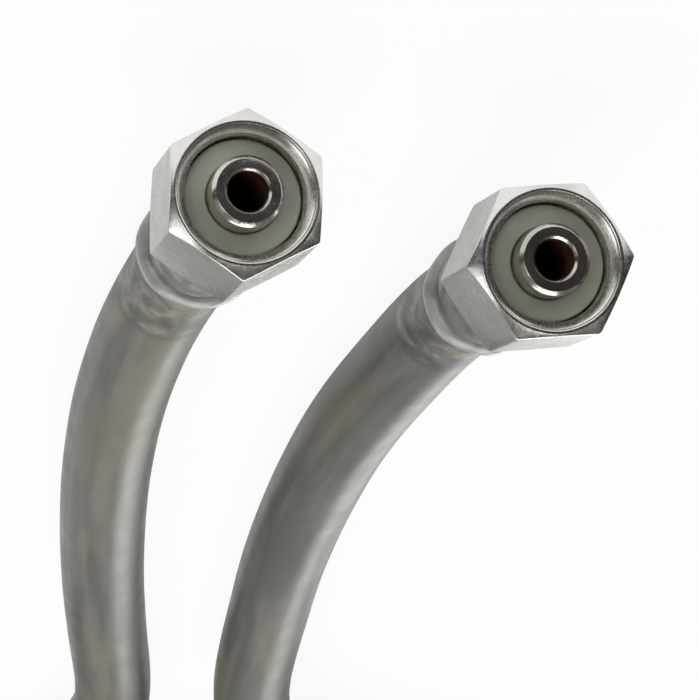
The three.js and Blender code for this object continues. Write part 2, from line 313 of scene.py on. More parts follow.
class Nodes:
    """A node tree, with the calls that finishes, the room and Geometry Nodes share."""

    def __init__(self, tree):
        self.tree = tree

    def node(self, kind, **values):
        made = self.tree.nodes.new(kind)
        for key, value in values.items():
            setattr(made, key, value)
        return made

    def link(self, a, b):
        self.tree.links.new(a, b)

    def put(self, value, socket):
        """Sets a number, or links another node's output."""
        if isinstance(value, float):
            socket.default_value = value
        else:
            self.link(value, socket)

    def math(self, operation, *values):
        made = self.node("ShaderNodeMath", operation=operation)
        for value, socket in zip(values, made.inputs):
            self.put(value, socket)
        return made.outputs["Value"]

    def place(self, source="Object", scale=(1, 1, 1)):
        coords = self.node("ShaderNodeTexCoord")
        mapping = self.node("ShaderNodeMapping")
        mapping.inputs["Scale"].default_value = scale
        self.link(coords.outputs[source], mapping.inputs["Vector"])
        return mapping.outputs["Vector"]

    def noise(self, vector, scale, detail=3.0, rough=0.55, warp=0.0):
        made = self.node("ShaderNodeTexNoise")
        made.inputs["Scale"].default_value = scale
        made.inputs["Detail"].default_value = detail
        made.inputs["Roughness"].default_value = rough
        made.inputs["Distortion"].default_value = warp
        self.link(vector, made.inputs["Vector"])
        return made.outputs["Fac"]

    def ramp(self, value, stops):
        made = self.node("ShaderNodeValToRGB")
        marks = made.color_ramp.elements
        while len(marks) < len(stops):
            marks.new(0.5)
        for mark, (at, colour) in zip(marks, stops):
            mark.position = at
            mark.color = (*colour, 1)
        self.link(value, made.inputs["Fac"])
        return made.outputs["Color"]

    def span(self, value, low, high, to_low, to_high):
        made = self.node("ShaderNodeMapRange")
        for key, number in zip(("From Min", "From Max", "To Min", "To Max"), (low, high, to_low, to_high)):
            made.inputs[key].default_value = number
        self.link(value, made.inputs["Value"])
        return made.outputs["Result"]

    def mix(self, factor, first, second, blend="MIX"):
        made = self.node("ShaderNodeMix", data_type="RGBA", blend_type=blend)
        self.put(factor, made.inputs["Factor"])
        self.link(first, made.inputs["A"])
        self.link(second, made.inputs["B"])
        return made.outputs["Result"]

    def bump(self, height, strength, distance, under=None):
        made = self.node("ShaderNodeBump")
        made.inputs["Strength"].default_value = strength
        made.inputs["Distance"].default_value = distance
        self.link(height, made.inputs["Height"])
        if under:
            self.link(under, made.inputs["Normal"])
        return made.outputs["Normal"]


class Shader(Nodes):
    """A material whose finish is one Principled BSDF."""

    def __init__(self, name, colour, roughness, metallic=0.0):
        self.material = bpy.data.materials.new(name)
        self.material.use_nodes = True
        super().__init__(self.material.node_tree)
        self.base = self.tree.nodes["Principled BSDF"]
        self.base.inputs["Base Color"].default_value = (*colour, 1)
        self.base.inputs["Roughness"].default_value = roughness
        self.base.inputs["Metallic"].default_value = metallic

    def to(self, socket, value):
        self.link(value, self.base.inputs[socket])


def shaded(colour, share):
    return tuple(c * share for c in colour)


def nickel(name, pale, darker_tone, roughness, grain, scratch):
    """Worn nickel plate, with turning marks along the surface, fine scratches, scuffs and grain."""
    paint = Shader(name, pale, roughness, 1.0)
    marks = paint.place("UV", (0.12, 7.0, 1.0))
    flat = paint.place()
    tone = paint.noise(flat, 260, 3.0, 0.55)
    paint.to("Base Color", paint.ramp(tone, [(0.3, darker_tone), (0.55, pale)]))
    scuff = paint.noise(flat, 1100, 5.0, 0.7, 0.6)
    paint.to("Roughness", paint.span(scuff, 0.35, 0.75, roughness - 0.05, roughness + 0.12))
    lines = paint.bump(paint.noise(marks, 1.0, 2.0), 0.16, 0.00003)
    across = paint.place("Object", (5200, 900, 700))
    lines = paint.bump(paint.noise(across, 1.0, 3.0, 0.6, 0.8), scratch, 0.00003, lines)
    paint.to("Normal", paint.bump(paint.noise(flat, 3200, 4.0), grain, 0.00002, lines))
    return paint.material


def bore_brass():
    """Bare brass in the stem's bore, its colour darkened nearly to black: painted shade for the deep hole.
    """
    paint = Shader("bore_brass_painted_shade", (0.14, 0.06, 0.026), 0.6, 0.35)
    flat = paint.place()
    tone = paint.noise(flat, 500, 4.0)
    # The ramp's near-black browns are brass with painted shade for the inside of the bore
    paint.to("Base Color", paint.ramp(tone, [(0.3, (0.06, 0.024, 0.01)), (0.7, (0.17, 0.075, 0.032))]))
    return paint.material


def washer_rubber():
    """Pale greenish rubber, matt and a little translucent."""
    paint = Shader("seal_rubber", (0.56, 0.57, 0.47), 0.5)
    flat = paint.place()
    tone = paint.noise(flat, 260, 3.0)
    paint.to("Base Color", paint.ramp(tone, [(0.3, (0.54, 0.555, 0.455)), (0.7, (0.66, 0.67, 0.56))]))
    paint.to("Normal", paint.bump(paint.noise(flat, 1800, 3.0), 0.2, 0.00005))
    paint.base.inputs["Subsurface Weight"].default_value = 0.2
    paint.base.inputs["Subsurface Scale"].default_value = 0.001
    return paint.material


def hose_vinyl(settings):
    """Grey vinyl, smoky over its braid, with soft streaks along it and blotches over each barb."""
    paint = Shader("hose_vinyl", settings.colour, 0.36)
    place = paint.node("ShaderNodeAttribute", attribute_name="hose_place").outputs["Vector"]
    stretch = paint.node("ShaderNodeMapping")
    stretch.inputs["Scale"].default_value = (0.34, 0.34, 0.03)
    paint.link(place, stretch.inputs["Vector"])
    dark = shaded(settings.colour, 0.72)
    warm = tuple(c * k for c, k in zip(settings.colour, (1.34, 1.3, 1.17)))
    beige = tuple(c * k for c, k in zip(settings.colour, (1.95, 1.88, 1.6)))
    streaks = paint.noise(stretch.outputs["Vector"], 1.0, 3.0, 0.5, 0.3)
    body = paint.ramp(streaks, [(0.4, dark), (0.5, settings.colour), (0.62, warm)])
    even = paint.place()
    cloud = paint.ramp(paint.noise(even, 90, 3.0), [(0.35, (0.86, 0.86, 0.85)), (0.7, (1.0, 0.99, 0.97))])
    body = paint.mix(1.0, body, cloud, "MULTIPLY")
    blotch = paint.ramp(paint.noise(place, 0.3, 4.0, 0.62, 0.35), [
        (0.4, shaded(settings.colour, 0.5)), (0.5, settings.colour), (0.62, beige),
    ])
    from_end = paint.node("ShaderNodeAttribute", attribute_name="from_end").outputs["Fac"]
    over_barb = paint.span(from_end, settings.barb_reach + 0.8, settings.barb_reach - 0.8, 0.0, 0.85)
    body = paint.mix(over_barb, body, blotch)
    off_edge = paint.math("ABSOLUTE", paint.math("SUBTRACT", from_end, settings.barb_reach))
    edge = paint.span(off_edge, 1.0, 0.1, 0.0, 0.5)
    shade = paint.node("ShaderNodeRGB")
    shade.outputs["Color"].default_value = (*shaded(settings.colour, 0.4), 1)
    paint.to("Base Color", paint.mix(edge, body, shade.outputs["Color"]))
    paint.to("Roughness", paint.span(paint.noise(even, 300, 3.0), 0.3, 0.7, 0.34, 0.46))
    paint.to("Normal", paint.bump(paint.noise(even, 160, 2.0), 0.1, 0.0003))
    paint.base.inputs["Specular IOR Level"].default_value = 0.42
    paint.base.inputs["Coat Weight"].default_value = 0.12
    paint.base.inputs["Coat Roughness"].default_value = 0.3
    return paint.material


def bead_vinyl():
    """The jacket's rolled end: cloudy vinyl with a glossy skin."""
    paint = Shader("bead_vinyl", (0.5, 0.51, 0.49), 0.3)
    flat = paint.place()
    tone = paint.noise(flat, 320, 4.0, 0.6, 0.8)
    paint.to("Base Color", paint.ramp(tone, [(0.3, (0.26, 0.27, 0.255)), (0.66, (0.5, 0.51, 0.49))]))
    paint.to("Normal", paint.bump(paint.noise(flat, 700, 2.0), 0.25, 0.0002))
    paint.base.inputs["Subsurface Weight"].default_value = 0.3
    paint.base.inputs["Subsurface Scale"].default_value = 0.0015
    paint.base.inputs["Coat Weight"].default_value = 0.4
    paint.base.inputs["Coat Roughness"].default_value = 0.2
    return paint.material


def crimped_steel():
    """Satin steel, with the jaws' rub marks."""
    paint = Shader("crimped_steel", (0.52, 0.53, 0.52), 0.34, 1.0)
    flat = paint.place()
    tone = paint.noise(flat, 500, 4.0)
    paint.to("Base Color", paint.ramp(tone, [(0.3, (0.24, 0.24, 0.235)), (0.7, (0.44, 0.44, 0.43))]))
    paint.to("Roughness", paint.span(paint.noise(flat, 1200, 3.0), 0.3, 0.7, 0.28, 0.46))
    paint.to("Normal", paint.bump(paint.noise(flat, 1500, 3.0), 0.3, 0.00006))
    return paint.material


def plain_nylon(name, colour, roughness):
    """Milky moulded plastic, for the ties and the liner."""
    paint = Shader(name, colour, roughness)
    flat = paint.place()
    tone = paint.noise(flat, 300, 3.0)
    paint.to("Base Color", paint.ramp(tone, [(0.3, shaded(colour, 0.85)), (0.7, colour)]))
    paint.to("Normal", paint.bump(paint.noise(flat, 1400, 2.0), 0.15, 0.00008))
    paint.base.inputs["Subsurface Weight"].default_value = 0.15
    paint.base.inputs["Subsurface Scale"].default_value = 0.001
    return paint.material


def braid_weave(name, colour):
    """Woven polyester: crossing ridges along the sleeve."""
    paint = Shader(name, colour, 0.7)
    flat = paint.place()
    wave = paint.node("ShaderNodeTexWave")
    wave.inputs["Scale"].default_value = 320
    wave.inputs["Distortion"].default_value = 1.5
    paint.link(flat, wave.inputs["Vector"])
    paint.to("Normal", paint.bump(wave.outputs["Fac"], 0.5, 0.0001))
    tone = paint.noise(flat, 400, 3.0)
    paint.to("Base Color", paint.ramp(tone, [(0.3, shaded(colour, 0.8)), (0.7, colour)]))
    return paint.material


# Sizes and colours that a user would change

class NutSettings(bpy.types.PropertyGroup):
    flats: bpy.props.FloatProperty(
        name="Across Flats", description="Width of the hexagon, in mm", default=12.7, min=8, max=30,
    )
    rim_radius: bpy.props.FloatProperty(
        name="Rim Radius", description="Where the end chamfer starts, in mm", default=6.26, min=4, max=14,
    )
    chamfer: bpy.props.FloatProperty(
        name="Chamfer", description="Slope of the end chamfer, in degrees", default=28, min=5, max=60,
    )
    mouth_radius: bpy.props.FloatProperty(
        name="Mouth Radius", description="Countersink at the mouth, in mm", default=5.78, min=3, max=13,
    )
    thread_radius: bpy.props.FloatProperty(
        name="Thread Crest Radius", description="Crests of the thread, in mm", default=5.1, min=3, max=12,
    )
    thread_depth: bpy.props.FloatProperty(
        name="Thread Depth", description="From crest to root, in mm", default=0.36, min=0, max=1,
    )
    thread_pitch: bpy.props.FloatProperty(
        name="Thread Pitch", description="One turn of the thread, in mm", default=25.4 / 24, min=0.5, max=2,
    )


class HoseSettings(bpy.types.PropertyGroup):
    sides: bpy.props.IntProperty(
        name="Sides", description="Faces round the hose", default=36, min=12, max=96,
    )
    step: bpy.props.FloatProperty(
        name="Step", description="Distance between rings of the hose, in mm", default=2.6, min=1, max=9,
    )
    colour: bpy.props.FloatVectorProperty(
        name="Colour", description="Smoky grey of the vinyl", subtype="COLOR", size=3, min=0, max=1,
        default=(0.158, 0.154, 0.138),
    )
    barb_reach: bpy.props.FloatProperty(
        name="Barb Reach", description="How far past each bead the crimped end shows through, in mm",
        default=11, min=0, max=40,
    )


class TieSettings(bpy.types.PropertyGroup):
    width: bpy.props.FloatProperty(
        name="Width", description="Width of each cable tie, in mm", default=3.6, min=1.5, max=8,
    )
    tooth_pitch: bpy.props.FloatProperty(
        name="Tooth Pitch", description="Distance between the tail's teeth, in mm", default=0.7, min=0.4,
        max=3,
    )
    tooth_height: bpy.props.FloatProperty(
        name="Tooth Height", description="How far the tail's teeth stand up, in mm", default=0.3, min=0.1,
        max=1,
    )


class StageSettings(bpy.types.PropertyGroup):
    floor_size: bpy.props.FloatProperty(
        name="Floor Size", description="Side of the floor", default=6.0, min=1, max=50, unit="LENGTH",
    )
    light: bpy.props.FloatProperty(
        name="Light", description="Strength of all lamps", default=1.0, min=0, max=5, subtype="FACTOR",
    )


# Swivel nuts

def hexagon_outline(flats, round_r=0.35, arc=4, along=10):
    """Points of a hexagon with rounded corners and a corner at the top and the bottom."""
    corner_r = flats / sqrt(3)
    centre_r = corner_r - round_r / cos(pi / 6)
    points = []
    for i in range(6):
        a = radians(90 + 60 * i)
        centre = Vector((cos(a), sin(a))) * centre_r
        for k in range(arc + 1):
            b = a + radians(-30 + 60 * k / arc)
            points.append(centre + Vector((cos(b), sin(b))) * round_r)
        last = points[-1]
        next_a = a + radians(60)
        target = Vector((cos(next_a), sin(next_a))) * centre_r
        target += Vector((cos(next_a - radians(30)), sin(next_a - radians(30)))) * round_r
        points += [last.lerp(target, k / along) for k in range(1, along)]
    return points


def rolled_lip(s):
    """Corners of the lip round the mouth, from the countersink out to the chamfer."""
    corners = [(s.mouth_radius - 0.2, 0.36, 0.06), (s.mouth_radius - 0.03, 0.24, 0.03)]
    middle = (s.mouth_radius + s.rim_radius) / 2
    half = (s.rim_radius - s.mouth_radius) / 2
    for turn in range(0, LIP_SWEEP + 1, LIP_STEP):
        a = radians(turn)
        corners.append((middle - half * cos(a), LIP_DEPTH - LIP_DEPTH * sin(a), 0.0))
    return corners


def nut_rings(s):
    """Rings of the nut's skin, one at each point of its hexagon, with the thread in the bore."""
    slope = tan(radians(s.chamfer))
    hole_r = NECK_R + RUN_GAP
    first, last = THREAD_AT, BACK_WALL_AT - THREAD_RUNOUT
    count = int((last - first) / s.thread_pitch * THREAD_STEPS)
    rings = []
    for point in hexagon_outline(s.flats):
        radius, angle = point.length, atan2(point.y, point.x)
        edge = (radius - s.rim_radius) * slope
        corners = rolled_lip(s) + [
            (radius, edge + CHAMFER_DROP, NUT_EDGE),
            (radius, NUT_LENGTH - edge, NUT_EDGE), (s.rim_radius, NUT_LENGTH, NUT_EDGE),
            (hole_r, NUT_LENGTH, 0.15), (hole_r, BACK_WALL_AT, 0.1),
            (s.thread_radius + s.thread_depth, BACK_WALL_AT, 0.0),
        ]
        outline = fillet(corners)
        for k in range(count + 1):
            depth = last + (first - last) * k / count
            phase = depth / s.thread_pitch - angle / (2 * pi)
            saw = abs(2 * (phase % 1.0) - 1)
            root = min(1.0, max(0.0, THREAD_SLOPE * saw - THREAD_CREST))
            outline.append(Vector((s.thread_radius + s.thread_depth * root, depth)))
        outline += [
            Vector((s.thread_radius, first - THREAD_LEAD)),
            Vector((s.thread_radius, MOUTH_DEPTH + THREAD_LEAD)),
            Vector((s.thread_radius + MOUTH_EDGE, MOUTH_DEPTH)),
        ]
        rings.append([(r * cos(angle), r * sin(angle), -depth) for r, depth in outline])
    return rings


class SUPPLY_OT_nuts(bpy.types.Operator):
    """Make the two swivel nuts, with chamfered hexagons and threads"""
    bl_idname = "supply.nuts"
    bl_label = "Swivel Nuts"

    def execute(self, context):
        plate = nickel("nut_nickel", (0.81, 0.8, 0.775), (0.69, 0.67, 0.64), 0.25, 0.25, 0.12)
        # The flats get a darker copy of the same nickel plate: painted shade on the flats
        darker_tone = nickel("nut_flats_painted_shade_nickel", (0.5, 0.505, 0.48), (0.43, 0.435, 0.41), 0.28, 0.25, 0.12)
        rings = nut_rings(context.scene.supply_nut)
        steps = [abs(near[2] - far[2]) for near, far in zip(rings[0], rings[0][1:])]
        # The longest step along the skin is the hexagon's flat, which gets the darker copy of the plate:
        # painted shade
        flat_at = steps.index(max(steps))
        slots = [int(k == flat_at) for k in range(len(rings[0]))]
        for letter, end in ENDS.items():
            matrix = end_matrix(end, end["spin"])
            nut = ring_mesh(f"swivel_nut_{letter}_body", rings, matrix, (plate, darker_tone), slots)
            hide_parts(f"nut_{letter}")
            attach(nut, f"swivel_nut_{letter}")
        return {"FINISHED"}


# Stems, seals and crimped ends

def stem_corners():
    """The stem's profile, from its nose along its barbed tail and back, and where its bore starts."""
    front, neck_end = -NOSE_OUT, FERRULE_AT - SEAT_GAP
    nose_chamfer, bore_chamfer, edge = 0.35, 0.22, 0.1
    corners = [
        (BORE_R + bore_chamfer, front, 0.04), (NOSE_R - nose_chamfer, front, 0.08),
        (NOSE_R, front + nose_chamfer, edge), (NOSE_R, FLANGE_AT, 0.0),
        (FLANGE_R, FLANGE_AT, edge), (FLANGE_R, FLANGE_BACK_AT, edge),
        (NECK_R, FLANGE_BACK_AT, 0.0), (NECK_R, neck_end, edge), (TAIL_ROOT_R, neck_end, 0.0),
        (TAIL_ROOT_R, TAIL_END_AT - BARBS * BARB_PITCH, 0.0),
    ]
    for i in reversed(range(BARBS)):
        end = TAIL_END_AT - i * BARB_PITCH
        corners += [(BARB_R, end - BARB_PITCH + 0.02, 0.0), (TAIL_ROOT_R, end, 0.0)]
    bore = len(fillet(corners))
    corners += [(BORE_R, TAIL_END_AT, 0.0), (BORE_R, front + bore_chamfer, 0.04)]
    return corners, bore


def seal_corners():
    """The flat washer's profile, with its outer face rounded at both rims."""
    return [
        (SEAL_HOLE_R, SEAL_AT, 0.3), (SEAL_R, SEAL_AT, 0.3), (SEAL_R, SEAL_BACK_AT, 0.1),
        (SEAL_HOLE_R, SEAL_BACK_AT, 0.0),
    ]


def jaw_wobble(angle, radius, depth):
    """How far the crimping jaws press the ferrule in, at a point of its skin."""
    middle = (FERRULE_AT + FERRULE_END_AT) / 2
    reach = abs(depth - middle) - JAW_LENGTH / 2
    if radius < FERRULE_R - JAW_SKIN or reach > JAW_FADE:
        return 0.0
    flat = 2 * pi / JAWS
    off = (angle + flat / 2) % flat - flat / 2
    pressed = (FERRULE_R - JAW_DEPTH) / cos(off)
    blend = min(1.0, max(0.0, 1 - reach / JAW_FADE))
    return -max(0.0, radius - pressed) * blend


def ferrule_corners():
    """The drawn cup's profile, with rows of points along it for the jaws to press."""
    lip_r = TAIL_ROOT_R + SEAT_GAP
    rows = [FERRULE_AT + FERRULE_EDGE + k * JAW_ROW for k in range(1, 22)]
    corners = [(lip_r, FERRULE_AT, 0.0), (FERRULE_R, FERRULE_AT, FERRULE_EDGE)]
    corners += [(FERRULE_R, row, 0.0) for row in rows if row < FERRULE_END_AT - FERRULE_EDGE]
    corners += [
        (FERRULE_R, FERRULE_END_AT, 0.3), (FERRULE_BORE_R, FERRULE_END_AT, 0.1),
        (FERRULE_BORE_R, NECK_END_AT, 0.0), (lip_r, NECK_END_AT, 0.0),
    ]
    return corners


def bead_corners(steps=12):
    """The rolled bead's profile: a half round on a short sleeve."""
    half = BEAD_LENGTH / 2
    corners = [(BEAD_HOLE_R, BEAD_AT, 0.0)]
    for i in range(steps + 1):
        a = -pi / 2 + pi * i / steps
        corners.append((BEAD_R - half + half * cos(a), BEAD_AT + half + half * sin(a), 0.0))
    corners.append((BEAD_HOLE_R, BEAD_END_AT, 0.0))
    return corners


def bead_wobble(angle, radius, depth):
    """How far the rolled bead strays from a true ring, at a point of its skin."""
    if radius < BEAD_HOLE_R + 1:
        return 0.0
    return 0.07 * sin(3 * angle + 0.6) + 0.045 * sin(7 * angle + depth) - 0.08


class SUPPLY_OT_fittings(bpy.types.Operator):
    """Make each end's stem, washer, crimped ferrule and rolled jacket bead"""
    bl_idname = "supply.fittings"
    bl_label = "Stems and Crimps"

    def execute(self, context):
        polished = nickel("stem_nickel", (0.66, 0.645, 0.61), (0.42, 0.4, 0.37), 0.16, 0.7, 0.5)
        brass, rubber, steel, vinyl = bore_brass(), washer_rubber(), crimped_steel(), bead_vinyl()
        for letter, end in ENDS.items():
            place = end_matrix(end)
            corners, bore = stem_corners()
            rings = turned_rings(corners, TURNED_SIDES)
            count = len(rings[0])
            slots = [int(bore - 1 <= k < count - FILLET_STEPS - 1) for k in range(count)]
            stem = ring_mesh(f"stem_{letter}_turned", rings, place, (polished, brass), slots)
            rings = turned_rings(seal_corners(), TURNED_SIDES)
            seal = ring_mesh(f"seal_{letter}_washer", rings, place, (rubber,))
            rings = turned_rings(ferrule_corners(), CRIMPED_SIDES, jaw_wobble)
            cup = ring_mesh(f"ferrule_{letter}_cup", rings, place, (steel,))
            rings = turned_rings(bead_corners(), TURNED_SIDES, bead_wobble)
            bead = ring_mesh(f"bead_{letter}_roll", rings, place, (vinyl,))
            for piece, node, slot in (
                (stem, "stem", "stem"), (seal, "seal", "seal"), (cup, "ferrule", "ferrule"),
                (bead, "jacket_bead", "bead"),
            ):
                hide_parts(f"{node}_{letter}")
                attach(piece, LINE_BODY)
        return {"FINISHED"}


class SUPPLY_OT_hose_layers(bpy.types.Operator):
    """Give the liner and the braid inside each crimp their finish"""
    bl_idname = "supply.hose_layers"
    bl_label = "Hose Layers"

    def execute(self, context):
        liner = plain_nylon("liner_vinyl", (0.76, 0.74, 0.66), 0.4)
        braid = braid_weave("braid_polyester", (0.68, 0.68, 0.65))
        for letter in ENDS:
            for node, finish in (("liner_end", liner), ("braid_end", braid)):
                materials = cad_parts[f"{node}_{letter}"].data.materials
                materials.clear()
                materials.append(finish)
        return {"FINISHED"}


# The hose's route

def coil_centre():
    """The coil's middle, its outer turns' radius, and the angle at which a strand's bend meets it."""
    outer = COIL_MID_R + (COIL_WIDE - 1) * HOSE_R
    reach = outer + TURN_R
    meet = acos((STRAND_A_X - STRAND_B_X + 2 * TURN_R) / (2 * reach))
    x = (STRAND_A_X + STRAND_B_X) / 2
    return x, TURN_Y + reach * sin(meet), outer, meet


def ease(x):
    """0 to 1 as x goes from 0 to 1, level at both ends."""
    t = min(max(x, 0.0), 1.0)
    return t * t * (3 - 2 * t)


def swing(x):
    """The same along half a cosine, which turns more gently."""
    return 0.5 - 0.5 * cos(pi * min(max(x, 0.0), 1.0))


COIL_X, COIL_Y, OUTER_R, MEET = coil_centre()
LOW = TIE_THICK + SEAT_GAP + HOSE_R
HIGH = LOW + HOSE_D
JOIN_A = 360 - degrees(MEET)
LEAVE_B = 180 + degrees(MEET)
TURNS = COIL_WIDE * COIL_HIGH
FRONT = 270 + 360 * (TURNS // 2)


def coil_place(angle):
    """Where the hose's middle is in the coil: its radius and height at an angle in degrees."""
    climb = swing((angle - FRONT + CLIMB_ANGLE / 2) / CLIMB_ANGLE)
    height = LOW + (HIGH - LOW) * climb
    inward = swing((angle - (JOIN_A + 360 - SHIFT_ANGLE)) / SHIFT_ANGLE)
    outward_again = swing((angle - (LEAVE_B + 360 * (TURNS - 1))) / SHIFT_ANGLE)
    radius = OUTER_R - HOSE_D * (inward - outward_again)
    away = abs(angle - FRONT) / (BULGE_ANGLE / 2)
    if away < 1:
        radius -= BULGE * (0.5 + 0.5 * cos(pi * away))
    return radius, height


def bend(strand_x, side, height, stops=5):
    """The bend by which a strand meets the coil, from the strand to the coil."""
    points = []
    for i in range(stops):
        a = MEET * i / stops
        x = strand_x + side * TURN_R * (1 - cos(a))
        points.append((x, TURN_Y + TURN_R * sin(a), height(TURN_R * (MEET - a))))
    return points


def route():
    """The hose's middle from end A to end B: listed points, bends and coiled turns."""
    start_a = [behind(ENDS["a"], HOSE_AT), behind(ENDS["a"], HOSE_AT + STRAIGHT)]
    start_b = [behind(ENDS["b"], HOSE_AT), behind(ENDS["b"], HOSE_AT + STRAIGHT)]

    def rise_a(left):
        return HOSE_R + (LOW - HOSE_R) * ease(1 - left / (TURN_R * MEET))

    def rise_b(left):
        return HOSE_R + (HIGH - HOSE_R) * ease(1 - left / B_DROP)

    points = start_a + RUN_A + bend(STRAND_A_X, 1, rise_a)
    stops = COIL_STOPS * TURNS
    last = LEAVE_B + 360 * TURNS
    for i in range(stops + 1):
        angle = JOIN_A + (last - JOIN_A) * i / stops
        radius, height = coil_place(angle)
        x = COIL_X + radius * cos(radians(angle))
        points.append((x, COIL_Y + radius * sin(radians(angle)), height))
    points += reversed(start_b + RUN_B + bend(STRAND_B_X, -1, rise_b))
    return [Vector(p) for p in points]


def smooth_path(points, step, parts=12):
    """Points a step apart on the centripetal curve through the points, and the curve's length."""
    fine = []
    ends = [points[0] * 2 - points[1]] + points + [points[-1] * 2 - points[-2]]
    for p0, p1, p2, p3 in zip(ends, ends[1:], ends[2:], ends[3:]):
        t1 = sqrt((p1 - p0).length)
        t2 = t1 + sqrt((p2 - p1).length)
        t3 = t2 + sqrt((p3 - p2).length)
        for k in range(parts):
            t = t1 + (t2 - t1) * k / parts
            a1 = p0 * ((t1 - t) / t1) + p1 * (t / t1)
            a2 = p1 * ((t2 - t) / (t2 - t1)) + p2 * ((t - t1) / (t2 - t1))
            a3 = p2 * ((t3 - t) / (t3 - t2)) + p3 * ((t - t2) / (t3 - t2))
            b1 = a1 * ((t2 - t) / t2) + a2 * (t / t2)
            b2 = a2 * ((t3 - t) / (t3 - t1)) + a3 * ((t - t1) / (t3 - t1))
            fine.append(b1 * ((t2 - t) / (t2 - t1)) + b2 * ((t - t1) / (t2 - t1)))
    fine.append(points[-1])
    lengths = [0.0]
    for a, b in zip(fine, fine[1:]):
        lengths.append(lengths[-1] + (b - a).length)
    count = round(lengths[-1] / step)
    path, k = [], 0
    for i in range(count + 1):
        want = lengths[-1] * i / count
        while k < len(fine) - 2 and lengths[k + 1] < want:
            k += 1
        share = (want - lengths[k]) / (lengths[k + 1] - lengths[k])
        path.append(fine[k].lerp(fine[k + 1], share))
    return path, lengths[-1]


def tube_mesh(name, path, radius, sides):
    """A closed tube along the path, with its rings kept from twisting and its place on each point."""
    count = len(path)
    tangents = [(path[min(i + 1, count - 1)] - path[max(i - 1, 0)]).normalized() for i in range(count)]
    side = Vector((0, 0, 1)).cross(tangents[0]).normalized()
    verts, faces, coords, places = [], [], [], []
    step = (path[1] - path[0]).length
    for i, (point, tangent) in enumerate(zip(path, tangents)):
        side = (side - tangent * side.dot(tangent)).normalized()
        over = tangent.cross(side)
        for k in range(sides):
            a = 2 * pi * k / sides - pi / 2
            verts.append(there(point + (side * cos(a) + over * sin(a)) * radius))
            places.append((radius * cos(a), radius * sin(a), i * step))
    width = 2 * pi * radius / sides
    for i in range(count - 1):
        for k in range(sides):
            m = (k + 1) % sides
            faces.append((i * sides + k, i * sides + m, (i + 1) * sides + m, (i + 1) * sides + k))
            low, high = i * step, (i + 1) * step
            coords += [(k * width, low), ((k + 1) * width, low), ((k + 1) * width, high), (k * width, high)]
    for first, centre in ((0, path[0]), ((count - 1) * sides, path[-1])):
        middle = len(verts)
        verts.append(there(centre))
        places.append((0, 0, places[first][2]))
        for k in range(sides):
            m = (k + 1) % sides
            loop = (first + m, first + k, middle) if first == 0 else (first + k, first + m, middle)
            faces.append(loop)
            coords += [(0, 0), (width, 0), (width, width)]
    tube = skin(name, verts, faces, coords)
    full = (count - 1) * step
    spots = tube.data.attributes.new("hose_place", "FLOAT_VECTOR", "POINT")
    spots.data.foreach_set("vector", [x for place in places for x in place])
    ends = tube.data.attributes.new("from_end", "FLOAT", "POINT")
    ends.data.foreach_set("value", [min(place[2], full - place[2]) for place in places])
    return tube


class SUPPLY_OT_hose(bpy.types.Operator):
    """Make the hose, from one crimp through the coil to the other"""
    bl_idname = "supply.hose"
    bl_label = "Hose"

    def execute(self, context):
        s = context.scene.supply_hose
        path, length = smooth_path(route(), s.step)
        hose = tube_mesh("hose_tube", path, HOSE_R, s.sides)
        hose.data.materials.append(hose_vinyl(s))
        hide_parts("hose_run_a", "hose_run_b", "hose_coil")
        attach(hose, LINE_BODY)
        return {"FINISHED"}


# Cable ties

def sections_at(angle):
    """Where the hose's turns cross a half plane out of the coil's middle: (radius, height)."""
    found = []
    for turn in range(-1, TURNS + 1):
        whole = angle + 360 * turn
        if JOIN_A <= whole <= LEAVE_B + 360 * TURNS:
            found.append(Vector(coil_place(whole)))
    return found


def band_outline(centres, out, count=72):
    """A taut band round circles of the hose's size, a distance out from them."""
    points = []
    for i in range(count):
        a = 2 * pi * i / count
        way = Vector((cos(a), sin(a)))
        far = max(centres, key=lambda c: c.dot(way))
        points.append(far + way * (HOSE_R + out))
    return points


class SUPPLY_OT_ties(bpy.types.Operator):
    """Make the cable ties that hold the coil"""
    bl_idname = "supply.ties"
    bl_label = "Cable Ties"

    def execute(self, context):
        nylon = plain_nylon("tie_nylon", (0.8, 0.8, 0.77), 0.42)
        s = context.scene.supply_tie
        count = int((TAIL_OUT - TEETH_SHORTER) / s.tooth_pitch)
        teeth = grow("strap_teeth", teeth_tree(), Count=count, Pitch=s.tooth_pitch,
                     Width=s.width - TEETH_NARROWER, Height=s.tooth_height, Finish=nylon)
        for i, angle in enumerate(TIE_ANGLES):
            tie = tie_piece(f"cable_tie_{i + 1}", angle, s, teeth, nylon)
            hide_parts(f"tie_{i + 1}")
            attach(tie, LINE_BODY)
        return {"FINISHED"}


def add_band(bm, at, inner, outer, half):
    """A strap's skin between two outlines, half its width to each side."""
    rows = []
    for outline, w in ((inner, -half), (outer, -half), (outer, half), (inner, half)):
        rows.append([bm.verts.new(at(p.x, w, p.y)) for p in outline])
    count = len(inner)
    for first, second in zip(rows, rows[1:] + rows[:1]):
        for k in range(count):
            m = (k + 1) % count
            bm.faces.new((first[k], first[m], second[m], second[k]))


def add_box(bm, at, spans):
    """A box over a low and a high value outwards, along the coil and upwards."""
    out, along, up = spans
    c = [[[bm.verts.new(at(r, w, z)) for z in up] for w in along] for r in out]
    for quad in (
        (c[0][0][0], c[0][0][1], c[0][1][1], c[0][1][0]),
        (c[1][0][0], c[1][1][0], c[1][1][1], c[1][0][1]),
        (c[0][0][0], c[1][0][0], c[1][0][1], c[0][0][1]),
        (c[0][1][0], c[0][1][1], c[1][1][1], c[1][1][0]),
        (c[0][0][0], c[0][1][0], c[1][1][0], c[1][0][0]),
        (c[0][0][1], c[1][0][1], c[1][1][1], c[0][1][1]),
    ):
        bm.faces.new(quad)


